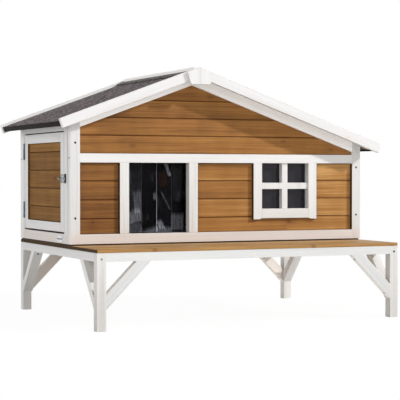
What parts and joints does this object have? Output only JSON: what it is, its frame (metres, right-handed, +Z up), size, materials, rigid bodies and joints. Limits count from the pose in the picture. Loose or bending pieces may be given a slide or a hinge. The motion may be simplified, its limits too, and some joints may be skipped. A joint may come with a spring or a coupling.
{
  "type": "outdoor cat house",
  "caption": "Raised outdoor cat house: plank-clad timber cabin with felted gable roof, strip-curtain entrance, barred window and a hinged, bolted side door on a braced stand with terrace.",
  "frame": {"origin": "centre of the whole object's plan box, on the ground under the feet", "axes": "+X to the right along the front, +Y from the front to the rear, +Z up; the entrance faces -Y"},
  "size_m": [1.318, 0.96, 0.9348],
  "materials": {
    "white_paint": "white-washed softwood, faint grain, matt",
    "brown_stain": "golden-brown stained softwood planks, satin",
    "deck_stain": "light brown stained deck boards, satin",
    "raw_timber": "bare softwood and plywood",
    "roof_felt": "bitumen roofing felt with fine mineral grit, matt",
    "ridge_felt": "bitumen ridge strip, matt",
    "zinc": "bright zinc-plated steel",
    "steel": "dark plated steel",
    "clear_pane": "clear acrylic sheet",
    "clear_strip": "clear soft PVC strip"
  },
  "bodies": {
    "house": {"leg_front_left": "white_paint", "leg_front_right": "white_paint", "leg_rear_left": "white_paint", "leg_rear_right": "white_paint", "apron_front": "white_paint", "apron_rear": "white_paint", "side_aprons": "white_paint", "front_rear_braces": "white_paint", "side_braces": "white_paint", "deck_bearers": "raw_timber", "deck_boards": "deck_stain", "floor_panel": "raw_timber", "post_front_left": "white_paint", "post_front_right": "white_paint", "post_rear_left": "white_paint", "post_rear_right": "white_paint", "front_rails": "white_paint", "entrance_stiles": "white_paint", "front_gable_trims": "white_paint", "front_gable_planks": "brown_stain", "front_wall_planks": "brown_stain", "window_stiles": "white_paint", "window_bars": "white_paint", "window_pane": "clear_pane", "left_rails": "white_paint", "left_stiles": "white_paint", "door_stops": "white_paint", "right_rails": "white_paint", "right_stiles": "white_paint", "right_wall_planks": "brown_stain", "rear_rails": "white_paint", "rear_stud": "white_paint", "rear_gable_trims": "white_paint", "rear_planks": "brown_stain", "ridge_beam": "raw_timber", "roof_panel_left": "raw_timber", "roof_panel_right": "raw_timber", "roof_felt_left": "roof_felt", "roof_felt_right": "roof_felt", "ridge_cap": "ridge_felt", "ridge_batten": "white_paint", "front_bargeboards": "white_paint", "rear_bargeboards": "white_paint", "apex_plate": "white_paint", "hinge_leaves_frame": "zinc", "hinge_pins": "steel", "latch_keeper": "zinc", "fixing_plate": "zinc", "curtain_clamp": "steel", "frame_screws": "steel"},
    "side_door": {"door_stiles": "white_paint", "door_rails": "white_paint", "door_planks": "brown_stain", "hinge_leaves_door": "zinc", "latch_plate": "zinc"},
    "latch_bolt": {"latch_bolt": "steel"},
    "strip_1": {"curtain_strip_1": "clear_strip"},
    "strip_2": {"curtain_strip_2": "clear_strip"},
    "strip_3": {"curtain_strip_3": "clear_strip"},
    "strip_4": {"curtain_strip_4": "clear_strip"}
  },
  "joints": [
    {"name": "side_door_hinge", "type": "hinge", "parent": "house", "child": "side_door", "pos_m": [-0.6005, 0.3437, 0.5075], "axis": [0, 0, -1], "range_deg": [0, 165]},
    {"name": "latch_bolt_slide", "type": "slide", "parent": "side_door", "child": "latch_bolt", "axis": [0, -1, 0], "range_m": [0, 0.012]},
    {"name": "strip_1_swing", "type": "hinge", "parent": "house", "child": "strip_1", "pos_m": [-0.34175, -0.174, 0.5777], "axis": [1, 0, 0], "range_deg": [-75, 75]},
    {"name": "strip_2_swing", "type": "hinge", "parent": "house", "child": "strip_2", "pos_m": [-0.28225, -0.174, 0.5777], "axis": [1, 0, 0], "range_deg": [-75, 75]},
    {"name": "strip_3_swing", "type": "hinge", "parent": "house", "child": "strip_3", "pos_m": [-0.22275, -0.174, 0.5777], "axis": [1, 0, 0], "range_deg": [-75, 75]},
    {"name": "strip_4_swing", "type": "hinge", "parent": "house", "child": "strip_4", "pos_m": [-0.16325, -0.174, 0.5777], "axis": [1, 0, 0], "range_deg": [-75, 75]}
  ]
}
